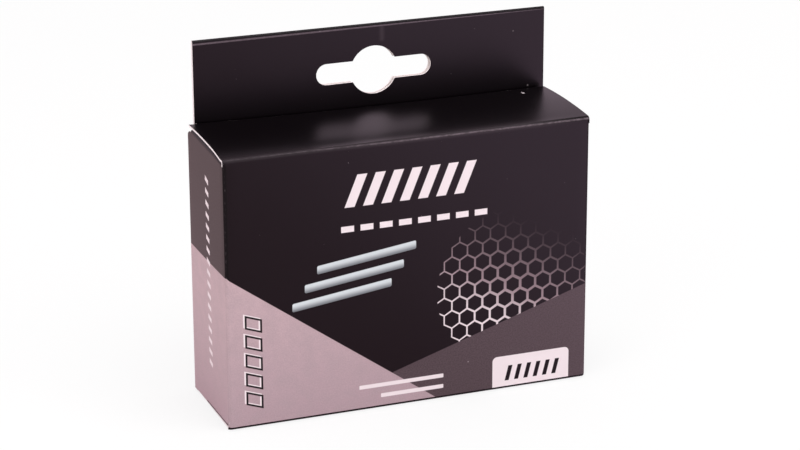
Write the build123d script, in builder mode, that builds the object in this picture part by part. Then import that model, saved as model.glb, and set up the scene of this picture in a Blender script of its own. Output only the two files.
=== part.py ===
"""Hang-tab carton with tuck ends, holding a stack of clip-on spoke reflectors.

The carton is folded from one sheet of card. Its sleeve, dust flaps and doubled hang tab are one piece. The lid and
the base flap turn on the creases that join them to the front panel, and each has a tongue that tucks in behind.

Frame: +X to the right across the front panel, +Y from front to back, +Z up. The origin is the middle of the base.
All sizes are in millimetres, and all angles in degrees.
"""

import os
from math import cos, degrees, radians, sin, sqrt

from build123d import *

# Card and its folds
board = 0.5  # thickness of the card
fold_inside = 0.5  # radius on the inside of a crease
crease_slit = 0.06  # width of the slit that parts a flap from the panel it is creased to

# Sleeve, outside sizes
width = 100.0
depth = 30.5
height = 73.0  # between the creases of the lid and of the base flap
side_corner_radius = 1.5  # rear corners of the side panels

# Glue strip inside the right side panel
glue_strip_width = 12.0
glue_strip_inset = 4.0  # from the side panel's upper and lower creases
glue_strip_taper = 4.0

# Hang tab, the back panel carried upwards and doubled over forwards
tab_height = 22.6  # above the lid's creases
tab_left_inset = 1.75  # of its left edge from the outside of the left side panel
tab_right_inset = 0.35  # of its right edge from the outside of the right side panel
tab_ply_gap = 0.12  # between the two layers of card
tab_lap = 11.0  # of the front layer inside the carton
tab_lap_inset = 2.0  # of the lap's side edges from the side panels

# Euro slot in the hang tab
slot_length = 32.0
slot_height = 5.7
slot_round = 13.0  # diameter of the opening in its middle
slot_rise = 10.0  # above the lid's creases
slot_shift = 1.1  # of the slot's middle to the right

# Lid, base flap and their tuck tongues
flap_overhang = 0.2  # past the outside of each side panel
lid_bow = 0.5  # rise of the lid's middle above its creases
tuck_clearance = 0.35  # between a tongue's crease and the card behind it
tongue_length = 13.0
tongue_lean = 5.0  # inwards from upright
tongue_inset = 1.9  # of a tongue's side edges from the outside of the side panels
tongue_corner_radius = 8.0

# Dust flaps, folded in from the side panels
dust_length = 22.0
dust_gap = 0.3  # between a dust flap and the flap that closes over it
dust_clearance = 1.5  # between a dust flap and the tongue that passes it
dust_taper = 2.5  # by which each dust flap narrows along its front and rear edges
dust_corner_radius = 3.0

# Spoke reflectors
reflector_count = 72
reflector_length = 75.0
reflector_diameter = 4.4
reflector_wall = 0.8
reflector_slit = 1.4
reflector_flat_count = 20  # flats that stand for the round outside
bore_flat_count = 8  # flats that stand for the round bore
reflector_gap = 0.12  # between neighbours, and between the stack and the card
reflector_turn = 137.5  # of each slit from the one before

# Places that several pieces share
fold_outside = fold_inside + board
half_slit_angle = degrees(crease_slit / 2 / fold_outside)
front_face = -depth / 2
rear_face = depth / 2
flap_width = width + 2 * flap_overhang
tongue_width = width - 2 * tongue_inset
dust_top = height - board - dust_gap
side_top = dust_top - fold_outside
side_bottom = height - side_top
tab_top = height + tab_height
tab_width = width - tab_left_inset - tab_right_inset
tab_middle = (tab_left_inset - tab_right_inset) / 2
tab_fold_inside = tab_ply_gap / 2
tab_fold_outside = tab_fold_inside + board
tab_front = rear_face - 2 * tab_fold_outside
lid_rear = tab_front - tuck_clearance
base_rear = rear_face - board - tuck_clearance
tongue_sweep = board * cos(radians(tongue_lean)) + tongue_length * sin(radians(tongue_lean))
dust_rear = lid_rear - board - dust_clearance
mid_height = Plane.XY.offset(height / 2)

# Both ends are drawn side-on, with y and height as axes. The base's plane counts its height from the top down.
lid_plane = Plane.YZ
base_plane = Plane((0, 0, height), x_dir=(0, 1, 0), z_dir=(-1, 0, 0))


def on_arc(centre, radius, angle):
    """Point on a circle, with the angle counted from the first axis."""
    return (centre[0] + radius * cos(radians(angle)), centre[1] + radius * sin(radians(angle)))


def crease_centre(rear=None):
    """Centre of a closing flap's front crease, or of its rear crease if the flap's rear is given."""
    y = front_face + fold_outside if rear is None else rear - fold_outside
    return (y, height - fold_outside)


def front_crease_section(plane):
    """Edge of the front panel with its half of the crease."""
    centre = crease_centre()
    split = 135 + half_slit_angle
    with BuildSketch(plane) as section:
        with BuildLine():
            for radius in (fold_outside, fold_inside):
                CenterArc(centre, radius, split, 180 - split)
                Line((centre[0] - radius, centre[1]), (centre[0] - radius, side_top))
            Line(on_arc(centre, fold_outside, split), on_arc(centre, fold_inside, split))
            Line((front_face, side_top), (front_face + board, side_top))
        make_face()
    return section.sketch


def flap_section(plane, rear, bow):
    """Closing flap, from its half of the front crease to its half of the rear one."""
    front_centre = crease_centre()
    rear_centre = crease_centre(rear)
    front_split = 135 - half_slit_angle
    rear_split = 45 + half_slit_angle
    with BuildSketch(plane) as section:
        with BuildLine():
            for radius in (fold_outside, fold_inside):
                CenterArc(front_centre, radius, 90, front_split - 90)
                CenterArc(rear_centre, radius, rear_split, 90 - rear_split)
                start = on_arc(front_centre, radius, 90)
                end = on_arc(rear_centre, radius, 90)
                if bow:
                    SagittaArc(start, end, bow)
                else:
                    Line(start, end)
            Line(on_arc(front_centre, fold_outside, front_split), on_arc(front_centre, fold_inside, front_split))
            Line(on_arc(rear_centre, fold_outside, rear_split), on_arc(rear_centre, fold_inside, rear_split))
        make_face()
    return section.sketch


def flap_corners(rear):
    """Plan of the two cuts that end a closing flap's rear crease where its tongue ends."""
    cut = tongue_inset + flap_overhang
    with BuildSketch() as plan:
        for side in (-1, 1):
            with Locations((side * (flap_width - cut) / 2, rear - fold_outside)):
                Rectangle(cut, fold_outside, align=(Align.CENTER, Align.MIN))
    return plan.sketch


def tongue_section(plane, rear):
    """Tuck tongue, from its half of the rear crease to its free edge."""
    centre = crease_centre(rear)
    split = 45 - half_slit_angle
    lean = radians(tongue_lean)
    with BuildSketch(plane) as section:
        with BuildLine():
            tips = []
            for radius in (fold_outside, fold_inside):
                CenterArc(centre, radius, -tongue_lean, split + tongue_lean)
                start = on_arc(centre, radius, -tongue_lean)
                tips.append((start[0] - tongue_length * sin(lean), start[1] - tongue_length * cos(lean)))
                Line(start, tips[-1])
            Line(*tips)
            Line(on_arc(centre, fold_outside, split), on_arc(centre, fold_inside, split))
        make_face()
    return section.sketch


def stack_places():
    """Places of the nested reflectors, row by row from the base up. Odd rows hold one fewer."""
    spacing = reflector_diameter + reflector_gap
    front = front_face + board + reflector_gap
    rear = base_rear - tongue_sweep - reflector_gap
    floor = height - dust_top + board + reflector_gap
    ceiling = height - fold_outside - tongue_length - reflector_gap
    per_row = int((rear - front + reflector_gap) // spacing)
    pitch = (rear - front - reflector_diameter) / (per_row - 1)
    rise = sqrt(spacing**2 - (pitch / 2) ** 2)
    rows = int((ceiling - floor - reflector_diameter) // rise) + 1
    centres = [
        (
            front + reflector_diameter / 2 + (column + row % 2 / 2) * pitch,
            floor + reflector_diameter / 2 + row * rise,
        )
        for row in range(rows)
        for column in range(per_row - row % 2)
    ]
    return [
        Location((y, z, 0), (0, 0, index * reflector_turn))
        for index, (y, z) in enumerate(centres[:reflector_count])
    ]


# Four dust flaps, each with its fold out of a side panel
with BuildPart() as dust_flaps:
    with BuildSketch(Plane.XZ.offset(-rear_face)):
        with BuildLine():
            fold_centre = (width / 2 - fold_outside, side_top)
            for fold_radius in (fold_outside, fold_inside):
                CenterArc(fold_centre, fold_radius, 0, 90)
                fold_end = on_arc(fold_centre, fold_radius, 90)
                Line(fold_end, (width / 2 - dust_length, fold_end[1]))
            Line((width / 2 - dust_length, dust_top), (width / 2 - dust_length, dust_top - board))
            Line((width / 2 - board, side_top), (width / 2, side_top))
        make_face()
    extrude(amount=depth)
    with BuildSketch() as dust_plan:
        with BuildLine():
            dust_front = front_face + fold_outside
            Polyline(
                (width / 2, dust_front),
                (width / 2 - fold_outside, dust_front),
                (width / 2 - dust_length, dust_front + dust_taper),
                (width / 2 - dust_length, dust_rear - dust_taper),
                (width / 2 - fold_outside, dust_rear),
                (width / 2, dust_rear),
                close=True,
            )
        make_face()
        fillet(dust_plan.vertices().group_by(Axis.X)[0], radius=dust_corner_radius)
    extrude(amount=height, mode=Mode.INTERSECT)
    mirror(about=Plane.YZ)
    mirror(about=mid_height)

# Hang tab, doubled over its upper edge, with the euro slot through both layers
with BuildPart() as hang_tab:
    with BuildSketch(Plane.YZ.offset(tab_middle)):
        with BuildLine():
            fold_centre = (rear_face - tab_fold_outside, tab_top - tab_fold_outside)
            back_start = side_top - side_corner_radius
            lap_end = height - tab_lap
            for fold_radius in (tab_fold_outside, tab_fold_inside):
                CenterArc(fold_centre, fold_radius, 0, 180)
                back_y = fold_centre[0] + fold_radius
                lap_y = fold_centre[0] - fold_radius
                Line((back_y, fold_centre[1]), (back_y, back_start))
                Line((lap_y, fold_centre[1]), (lap_y, lap_end))
            Line((rear_face - board, back_start), (rear_face, back_start))
            Line((tab_front, lap_end), (tab_front + board, lap_end))
        make_face()
    extrude(amount=tab_width / 2, both=True)
    with BuildSketch(Plane.XZ.offset(-tab_front)):
        with Locations((tab_middle, side_top)):
            Rectangle(tab_width, tab_lap, align=(Align.CENTER, Align.MAX))
        with Locations((0, side_top)):
            lap_width = width - 2 * (board + tab_lap_inset)
            Rectangle(lap_width, tab_lap, align=(Align.CENTER, Align.MAX), mode=Mode.SUBTRACT)
    extrude(amount=-board, mode=Mode.SUBTRACT)
    with BuildSketch(Plane.XZ.offset(-rear_face)):
        with Locations((slot_shift, height + slot_rise)):
            SlotOverall(slot_length, slot_height)
            Circle(slot_round / 2)
    extrude(amount=rear_face - tab_front, mode=Mode.SUBTRACT)

# Sleeve, with its dust flaps, its hang tab and its halves of the front creases
with BuildPart() as carton_body:
    with BuildSketch(Plane.XY.offset(side_bottom)):
        RectangleRounded(width, depth, fold_outside)
        RectangleRounded(width - 2 * board, depth - 2 * board, fold_inside, mode=Mode.SUBTRACT)
    extrude(amount=side_top - side_bottom)
    with BuildSketch(Plane.YZ):
        with Locations((rear_face, side_top)):
            Rectangle(side_corner_radius, side_corner_radius, align=(Align.MAX, Align.MAX))
        with Locations((rear_face - side_corner_radius, side_top - side_corner_radius)):
            Circle(side_corner_radius, mode=Mode.SUBTRACT)
        mirror(about=Plane.XZ.offset(-height / 2))
    extrude(amount=width / 2, both=True, mode=Mode.SUBTRACT)
    with BuildSketch(Plane.XZ.offset(-rear_face)):
        Rectangle(
            width - 2 * fold_outside,
            side_bottom + side_corner_radius,
            align=(Align.CENTER, Align.MIN),
        )
    extrude(amount=board)
    with BuildSketch(Plane.YZ.offset(width / 2 - 2 * board)):
        with BuildLine():
            strip_rear = rear_face - board
            strip_front = strip_rear - glue_strip_width
            strip_low = side_bottom + glue_strip_inset
            strip_high = side_top - glue_strip_inset
            Polyline(
                (strip_rear, strip_low),
                (strip_rear, strip_high),
                (strip_front, strip_high - glue_strip_taper),
                (strip_front, strip_low + glue_strip_taper),
                close=True,
            )
        make_face()
    extrude(amount=board)
    for end_plane in (lid_plane, base_plane):
        extrude(front_crease_section(end_plane), amount=flap_width / 2, both=True)
    add(dust_flaps.part)
    add(hang_tab.part)

with BuildPart() as lid_flap:
    extrude(flap_section(lid_plane, lid_rear, lid_bow), amount=flap_width / 2, both=True)
    extrude(flap_corners(lid_rear), amount=tab_top, mode=Mode.SUBTRACT)

with BuildPart() as base_flap:
    extrude(flap_section(base_plane, base_rear, 0), amount=flap_width / 2, both=True)
    extrude(flap_corners(base_rear), amount=tab_top, mode=Mode.SUBTRACT)

with BuildPart() as lid_tongue:
    extrude(tongue_section(lid_plane, lid_rear), amount=tongue_width / 2, both=True)
    free_corners = lid_tongue.edges().filter_by(Axis.X, reverse=True).sort_by(Axis.Z)[:2]
    fillet(free_corners, radius=tongue_corner_radius)

with BuildPart() as base_tongue:
    extrude(tongue_section(base_plane, base_rear), amount=tongue_width / 2, both=True)
    free_corners = base_tongue.edges().filter_by(Axis.X, reverse=True).sort_by(Axis.Z)[-2:]
    fillet(free_corners, radius=tongue_corner_radius)

# Reflectors, slit tubes that lie across the carton with each slit turned another way
with BuildPart() as spoke_reflectors:
    with BuildSketch(Plane.YZ):
        with Locations(*stack_places()):
            RegularPolygon(reflector_diameter / 2, reflector_flat_count)
            RegularPolygon(
                reflector_diameter / 2 - reflector_wall,
                bore_flat_count,
                major_radius=False,
                mode=Mode.SUBTRACT,
            )
            Rectangle(
                reflector_diameter / 2,
                reflector_slit,
                align=(Align.MIN, Align.CENTER),
                mode=Mode.SUBTRACT,
            )
    extrude(amount=reflector_length / 2, both=True)

os.makedirs("parts", exist_ok=True)
carton_body.part.label = "carton_body"
export_step(carton_body.part, "parts/carton_body.step")
lid_flap.part.label = "lid_flap"
export_step(lid_flap.part, "parts/lid_flap.step")
lid_tongue.part.label = "lid_tongue"
export_step(lid_tongue.part, "parts/lid_tongue.step")
base_flap.part.label = "base_flap"
export_step(base_flap.part, "parts/base_flap.step")
base_tongue.part.label = "base_tongue"
export_step(base_tongue.part, "parts/base_tongue.step")
spoke_reflectors.part.label = "spoke_reflectors"
export_step(spoke_reflectors.part, "parts/spoke_reflectors.step")

# A flap turns about the outside of its front crease, and a tongue about the inside of its rear crease.
print("flap pivot, from the outside of its end", on_arc(crease_centre(), fold_outside, 135))
print("lid tongue pivot", on_arc(crease_centre(lid_rear), fold_inside, 45))
print("base tongue pivot, from the outside of its end", on_arc(crease_centre(base_rear), fold_inside, 45))
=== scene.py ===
"""Looks of a hang-tab carton that holds a stack of spoke reflectors.

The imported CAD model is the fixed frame. The folded card is rebuilt as thin sheets with a printed face, a
bare back and a white cut edge. Every point of the card also knows where it lies on the flat, unfolded
blank, in millimetres. The print is drawn on that blank, so it runs over the folds as on a real carton.

Frame: +X to the right across the front panel, +Y from front to back, +Z up, in metres.
"""

from __future__ import annotations

import logging
from collections.abc import Callable, Mapping, Sequence
from dataclasses import dataclass, replace
from enum import Enum, IntEnum
from functools import reduce
from math import asin, cos, pi, radians, sin, sqrt
from operator import or_

import bmesh
import bpy
import numpy as np
from mathutils import Matrix, Vector

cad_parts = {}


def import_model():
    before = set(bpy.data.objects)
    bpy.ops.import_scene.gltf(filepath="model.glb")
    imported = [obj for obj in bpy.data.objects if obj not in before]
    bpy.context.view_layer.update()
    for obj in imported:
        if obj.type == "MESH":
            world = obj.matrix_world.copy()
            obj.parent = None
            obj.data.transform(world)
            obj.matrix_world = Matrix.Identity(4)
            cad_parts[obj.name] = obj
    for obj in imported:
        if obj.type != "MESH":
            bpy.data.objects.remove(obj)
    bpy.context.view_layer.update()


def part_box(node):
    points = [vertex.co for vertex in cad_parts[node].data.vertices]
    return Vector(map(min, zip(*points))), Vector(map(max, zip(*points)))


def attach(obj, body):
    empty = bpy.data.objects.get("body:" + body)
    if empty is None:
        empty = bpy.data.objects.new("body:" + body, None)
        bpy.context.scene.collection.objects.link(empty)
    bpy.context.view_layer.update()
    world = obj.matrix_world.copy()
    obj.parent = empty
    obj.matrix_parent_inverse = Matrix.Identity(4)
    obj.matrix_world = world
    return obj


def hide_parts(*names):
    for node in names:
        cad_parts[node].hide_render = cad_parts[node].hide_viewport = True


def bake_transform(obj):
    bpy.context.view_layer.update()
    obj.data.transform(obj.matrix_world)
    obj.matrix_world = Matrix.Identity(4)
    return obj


log = logging.getLogger("carton")

MM = 0.001
BLANK_MAP = "blank"
SMOOTH_UNDER = radians(32)

Colour = tuple[float, float, float, float]
Pair = tuple[float, float]
Triple = tuple[float, float, float]
Profile = list[tuple[Pair, Pair, float]]


def ink(red: float, green: float, blue: float) -> Colour:
    """Turns a colour as a screen shows it into the linear one that a shader takes.

    Args:
        red: Red, from 0 to 255.
        green: Green, from 0 to 255.
        blue: Blue, from 0 to 255.

    Returns:
        The linear colour, opaque.
    """

    def linear(level: float) -> float:
        """One channel, by the screen's own curve."""
        share = level / 255
        return share / 12.92 if share <= 0.04045 else ((share + 0.055) / 1.055) ** 2.4

    return (linear(red), linear(green), linear(blue), 1.0)


class CardFace(IntEnum):
    """Surfaces of a piece of card, numbered as its material slots."""

    PRINT = 0
    BACK = 1
    CUT = 2


class TubeFace(IntEnum):
    """Surfaces of a reflector, numbered as its material slots."""

    FILM = 0
    CORE = 1


class End(Enum):
    """The two tucked ends of the carton."""

    LID = "lid"
    BASE = "base"


@dataclass(frozen=True)
class CartonSizes:
    """Sizes of the folded carton, in metres."""

    width: float
    depth: float
    height: float
    tab_top: float
    flap_width: float
    tongue_width: float
    lid_rear: float
    base_rear: float
    board: float = 0.5 * MM
    fold_inside: float = 0.5 * MM
    flap_overhang: float = 0.2 * MM
    lid_bow: float = 0.5 * MM
    dust_gap: float = 0.3 * MM
    tongue_length: float = 13.0 * MM
    tongue_lean: float = 5.0
    corner_drop: float = 2.0 * MM
    corner_run: float = 3.0 * MM

    @classmethod
    def from_frame(cls) -> CartonSizes:
        """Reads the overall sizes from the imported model.

        Returns:
            The sizes.
        """
        body_low, body_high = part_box("carton_body")
        lid_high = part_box("lid_flap")[1]
        lid_tongue_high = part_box("lid_tongue")[1]
        base_tongue_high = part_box("base_tongue")[1]
        flap_width = body_high.x - body_low.x
        return cls(
            width=flap_width - 2 * cls.flap_overhang,
            depth=body_high.y - body_low.y,
            height=lid_high.z - cls.lid_bow,
            tab_top=body_high.z,
            flap_width=flap_width,
            tongue_width=2 * lid_tongue_high.x,
            lid_rear=lid_tongue_high.y,
            base_rear=base_tongue_high.y,
        )

    @property
    def fold_outside(self) -> float:
        """Radius on the outside of a crease."""
        return self.fold_inside + self.board

    @property
    def front(self) -> float:
        """Y of the front panel's printed face."""
        return -self.depth / 2

    @property
    def rear(self) -> float:
        """Y of the back panel's printed face."""
        return self.depth / 2

    @property
    def dust_top(self) -> float:
        """Height of the upper dust flaps' printed face."""
        return self.height - self.board - self.dust_gap

    @property
    def side_top(self) -> float:
        """Height at which a side panel ends and its upper dust flap's fold starts."""
        return self.dust_top - self.fold_outside

    @property
    def side_bottom(self) -> float:
        """Height at which a side panel ends and its lower dust flap's fold starts."""
        return self.height - self.side_top

    def on_back(self, x: float) -> float:
        """Place of a point of the back panel along the flat blank, in millimetres."""
        return -(self.width / 2 + self.depth + self.width / 2 + x) / MM

    def on_side(self, side: int, y: float) -> float:
        """Place of a point of a side panel along the flat blank, in millimetres."""
        return side * (self.width / 2 + y - self.front) / MM


def arc(centre: Pair, radius: float, start: float, end: float, steps: int) -> list[Pair]:
    """Points along a circle.

    Args:
        centre: The circle's centre.
        radius: Its radius.
        start: First angle in degrees, from the first axis.
        end: Last angle in degrees.
        steps: How many chords the arc is cut into.

    Returns:
        One more point than steps, both ends among them.
    """
    turns = [radians(start + (end - start) * step / steps) for step in range(steps + 1)]
    return [(centre[0] + radius * cos(turn), centre[1] + radius * sin(turn)) for turn in turns]


def add_object(name: str, data: bpy.types.ID) -> bpy.types.Object:
    """Makes an object and links it to the scene.

    Args:
        name: Its name.
        data: Its mesh, lamp or camera.

    Returns:
        The object.
    """
    made = bpy.data.objects.new(name, data)
    bpy.context.scene.collection.objects.link(made)
    return made


def seat(piece: bpy.types.Object, body: str, node: str) -> None:
    """Lets a piece ride on a body, in place of one of its CAD nodes."""
    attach(piece, body)
    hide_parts(node)


def make_piece(
    name: str,
    points: Sequence[Sequence[float]],
    faces: Sequence[tuple[int, ...]],
    kinds: Sequence[int],
    finishes: Sequence[bpy.types.Material],
) -> bpy.types.Object:
    """Makes a shaded object whose faces all look outwards.

    Args:
        name: Its name.
        points: Its points.
        faces: Its faces, as numbers of points.
        kinds: The number of each face's material.
        finishes: The materials, in their order.

    Returns:
        The object, linked to the scene.
    """
    mesh = bpy.data.meshes.new(name)
    mesh.from_pydata(points, [], faces)
    for finish in finishes:
        mesh.materials.append(finish)
    mesh.polygons.foreach_set("material_index", kinds)
    solid = bmesh.new()
    solid.from_mesh(mesh)
    bmesh.ops.recalc_face_normals(solid, faces=solid.faces[:])
    solid.to_mesh(mesh)
    solid.free()
    mesh.polygons.foreach_set("use_smooth", [True] * len(mesh.polygons))
    mesh.set_sharp_from_angle(angle=SMOOTH_UNDER)
    piece = add_object(name, mesh)
    return piece


@dataclass(frozen=True)
class Settling:
    """Small skew of the folded carton, whose upper rear edge stands a little higher than the front one."""

    sizes: CartonSizes
    left_rise: float = 1.3 * MM
    right_rise: float = 0.6 * MM
    middle_sag: float = 0.5 * MM
    rise_power: float = 1.25
    nose: float = 0.3 * MM
    nose_run: float = 2.0 * MM
    still_under: float = 55.0 * MM

    def lift(self, points: np.ndarray, whole: bool) -> np.ndarray:
        """Height that is added to each point.

        Args:
            points: The points, one a row.
            whole: Whether the piece rises as one, rather than more towards its upper end.

        Returns:
            The added heights.
        """
        sizes = self.sizes
        x, y, z = points.T
        right = sizes.width / 2
        fold = sizes.fold_outside
        along = np.clip(x / sizes.width + 0.5, 0, 1)
        rise = self.left_rise + (self.right_rise - self.left_rise) * along
        rise = rise - self.middle_sag * 4 * along * (1 - along)
        behind = np.clip((y - sizes.front) / sizes.depth, 0, 1) ** self.rise_power
        upward = np.clip((z - self.still_under) / (sizes.side_top - self.still_under), 0, 1)
        height = 1.0 if whole else upward**2 * (3 - 2 * upward)
        at_side = np.clip((abs(x) - right + fold) / fold, 0, 1)
        ahead = np.maximum(y - sizes.front, 0) / self.nose_run
        dip = self.nose * (1 - along) * ahead**2 * np.exp(2 - 2 * ahead)
        return (rise * behind - dip) * height * np.where(y > sizes.rear - fold, at_side, 1.0)


class CardMesh:
    """Mesh of one piece of card, gathered from grids and flat plies."""

    def __init__(self, name: str, settling: Settling | None = None, whole: bool = False) -> None:
        """Starts an empty piece.

        Args:
            name: Its name.
            settling: The carton's skew, if the piece follows it.
            whole: Whether the piece follows the skew as one.
        """
        self.name = name
        self.settling = settling
        self.whole = whole
        self.points: list[Sequence[float]] = []
        self.blank: list[Pair] = []
        self.faces: list[tuple[int, ...]] = []
        self.kinds: list[CardFace] = []

    def _add_skins(self, outer: np.ndarray, inner: np.ndarray, blank: np.ndarray) -> tuple[int, int]:
        """Adds the points of a printed skin and of the bare one behind it.

        Args:
            outer: Points of the printed skin, one a row.
            inner: The matching points of the bare skin.
            blank: Their places on the flat blank.

        Returns:
            The number of each skin's first point.
        """
        first = len(self.points)
        self.points += [*outer.tolist(), *inner.tolist()]
        self.blank += [*map(tuple, blank.tolist())] * 2
        return first, first + len(outer)

    def _add_face(self, corners: tuple[int, ...], kind: CardFace) -> None:
        """Adds one face of this kind."""
        self.faces.append(corners)
        self.kinds.append(kind)

    def add_grid(self, outer: np.ndarray, inner: np.ndarray, blank: np.ndarray) -> None:
        """Adds a sheet that is given row by row, closed round its rim by cut edges.

        Args:
            outer: Points of the printed skin, as rows of points.
            inner: Points of the bare skin, laid out alike.
            blank: Places on the flat blank, laid out alike.
        """
        rows, columns = outer.shape[:2]
        front, back = self._add_skins(outer.reshape(-1, 3), inner.reshape(-1, 3), blank.reshape(-1, 2))
        for row in range(rows - 1):
            for column in range(columns - 1):
                here = row * columns + column
                ring = (here, here + 1, here + columns + 1, here + columns)
                self._add_face(tuple(front + at for at in ring), CardFace.PRINT)
                self._add_face(tuple(back + at for at in reversed(ring)), CardFace.BACK)
        top = [(rows - 1) * columns + column for column in range(columns)]
        right = [row * columns + columns - 1 for row in range(rows)]
        left = [row * columns for row in range(rows)]
        self._add_rim([*range(columns), *right[1:], *top[-2::-1], *left[-2:0:-1]], front, back)

    def _add_rim(self, loop: Sequence[int], front: int, back: int) -> None:
        """Closes the gap between the two skins along a loop of point numbers."""
        for at, following in zip(loop, [*loop[1:], loop[0]]):
            self._add_face((front + at, back + at, back + following, front + following), CardFace.CUT)

    def add_ply(
        self,
        loops: Sequence[Sequence[Pair]],
        place: Callable[[float, float, float], Sequence[float]],
        blank: Callable[[float, float], Pair],
    ) -> None:
        """Adds a flat piece of card with an outline and perhaps holes.

        Args:
            loops: The outline and then each hole, as points on the piece.
            place: Turns a point on the piece, and 0 for the printed or 1 for the bare skin, into a spot.
            blank: Turns a point on the piece into its place on the flat blank.
        """
        drawing = bmesh.new()
        rings = []
        for loop in loops:
            ring = [drawing.verts.new((*point, 0.0)) for point in loop]
            for start, end in zip(ring, [*ring[1:], ring[0]]):
                drawing.edges.new((start, end))
            rings.append(ring)
        drawing.verts.index_update()
        filled = bmesh.ops.triangle_fill(drawing, use_beauty=True, edges=drawing.edges[:])["geom"]
        flat = [(vertex.co.x, vertex.co.y) for vertex in drawing.verts]
        outer = np.array([place(*point, 0.0) for point in flat])
        inner = np.array([place(*point, 1.0) for point in flat])
        front, back = self._add_skins(outer, inner, np.array([blank(*point) for point in flat]))
        for face in filled:
            if isinstance(face, bmesh.types.BMFace):
                corners = [vertex.index for vertex in face.verts]
                self._add_face(tuple(front + at for at in corners), CardFace.PRINT)
                self._add_face(tuple(back + at for at in reversed(corners)), CardFace.BACK)
        for ring in rings:
            self._add_rim([vertex.index for vertex in ring], front, back)
        drawing.free()

    def finish(self, finishes: Mapping[CardFace, bpy.types.Material]) -> bpy.types.Object:
        """Makes the Blender object.

        Args:
            finishes: The material of each kind of surface.

        Returns:
            The object, linked to the scene.
        """
        points = np.array(self.points)
        if self.settling:
            points[:, 2] += self.settling.lift(points, self.whole)
        surfaces = [finishes[kind] for kind in CardFace]
        piece = make_piece(self.name, points.tolist(), self.faces, self.kinds, surfaces)
        mesh = piece.data
        corners = np.zeros(len(mesh.loops), dtype=np.int32)
        mesh.loops.foreach_get("vertex_index", corners)
        layer = mesh.uv_layers.new(name=BLANK_MAP)
        layer.uv.foreach_set("vector", np.array(self.blank, dtype=np.float32)[corners].ravel())
        return piece


class Value:
    """A number that changes over a surface, with its arithmetic written as operators."""

    def __init__(self, graph: Graph, socket: bpy.types.NodeSocket) -> None:
        """Wraps a node's output socket in this graph."""
        self.graph = graph
        self.socket = socket

    def beside(self, output: str) -> Value:
        """Another output of the same node."""
        return Value(self.graph, self.socket.node.outputs[output])

    def _math(self, operation: str, *values: Value | float) -> Value:
        """Adds one Math node on these values."""
        return self.graph.node("ShaderNodeMath", {"operation": operation}, dict(enumerate(values)))

    def __add__(self, other: Value | float) -> Value:
        """Sum."""
        return self._math("ADD", self, other)

    __radd__ = __add__

    def __sub__(self, other: Value | float) -> Value:
        """Difference."""
        return self._math("SUBTRACT", self, other)

    def __rsub__(self, other: float) -> Value:
        """Difference from a plain number."""
        return self._math("SUBTRACT", other, self)

    def __mul__(self, other: Value | float) -> Value:
        """Product."""
        return self._math("MULTIPLY", self, other)

    __rmul__ = __mul__

    def __truediv__(self, other: Value | float) -> Value:
        """Quotient."""
        return self._math("DIVIDE", self, other)

    def __rtruediv__(self, other: float) -> Value:
        """Quotient of a plain number."""
        return self._math("DIVIDE", other, self)

    def __mod__(self, other: Value | float) -> Value:
        """Remainder, never negative."""
        return self._math("FLOORED_MODULO", self, other)

    def __rmod__(self, other: float) -> Value:
        """Remainder of a plain number."""
        return self._math("FLOORED_MODULO", other, self)

    def __lt__(self, other: Value | float) -> Value:
        """1 where this is the smaller, else 0."""
        return self._math("LESS_THAN", self, other)

    def __gt__(self, other: Value | float) -> Value:
        """1 where this is the larger, else 0."""
        return self._math("GREATER_THAN", self, other)

    def __and__(self, other: Value | float) -> Value:
        """The smaller of two values, which is the overlap of two masks."""
        return self._math("MINIMUM", self, other)

    __rand__ = __and__

    def __or__(self, other: Value | float) -> Value:
        """The larger of two values, which is the union of two masks."""
        return self._math("MAXIMUM", self, other)

    __ror__ = __or__

    def __abs__(self) -> Value:
        """Size without sign."""
        return self._math("ABSOLUTE", self)

    def root(self) -> Value:
        """Square root."""
        return self._math("SQRT", self)

    def ease(self, low: float, high: float) -> Value:
        """Rises smoothly from 0 at low to 1 at high, or falls where high is the smaller."""
        limits = {"Value": self, "From Min": low, "From Max": high}
        return self.graph.node("ShaderNodeMapRange", {"interpolation_type": "SMOOTHSTEP"}, limits)


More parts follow.
